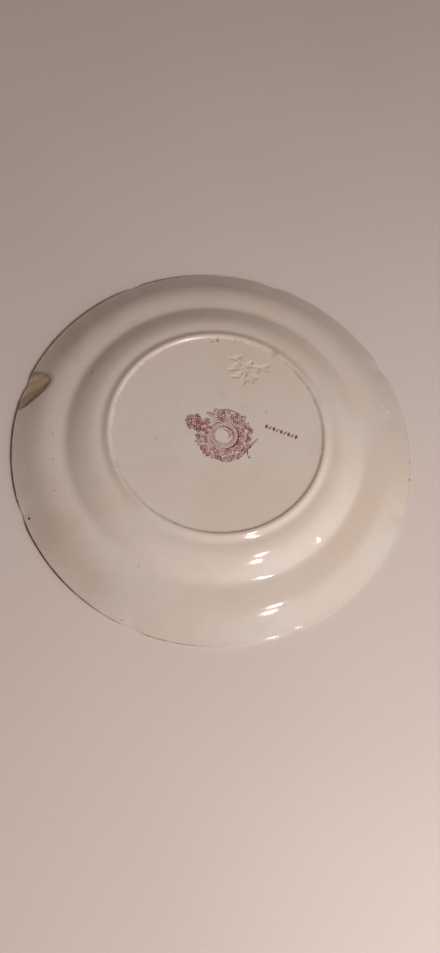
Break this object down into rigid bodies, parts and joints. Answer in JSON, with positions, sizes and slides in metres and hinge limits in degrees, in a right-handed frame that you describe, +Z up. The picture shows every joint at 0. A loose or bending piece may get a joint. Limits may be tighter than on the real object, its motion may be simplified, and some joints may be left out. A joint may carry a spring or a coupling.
{
  "type": "china plate",
  "caption": "Round glazed earthenware serving plate with a lobed rim and a shallow well, lying face down; printed leaf mark on the base and a small old chip in the rim.",
  "frame": {"origin": "centre of the plate, on the surface that its rim rests on when it lies face down", "axes": "+Z up, from the rim to the foot ring; the chip in the rim is near -X"},
  "size_m": [0.2538, 0.2537, 0.0234],
  "materials": {
    "clay": "matte porous earthenware, stained brown in the chip",
    "glaze": "glossy ivory glaze, finely crazed, with grey and brown staining near the rim",
    "print": "mulberry transfer print, slightly uneven"
  },
  "bodies": {
    "root": {"earthenware_body": "clay", "glaze_underside": "glaze", "glaze_face": "glaze", "backstamp_wreath": "print", "backstamp_medallion": "print", "backstamp_spray": "print", "backstamp_flourish": "print", "face_border_print": "print", "face_verge_line": "print", "face_centre_print": "print"}
  },
  "joints": []
}
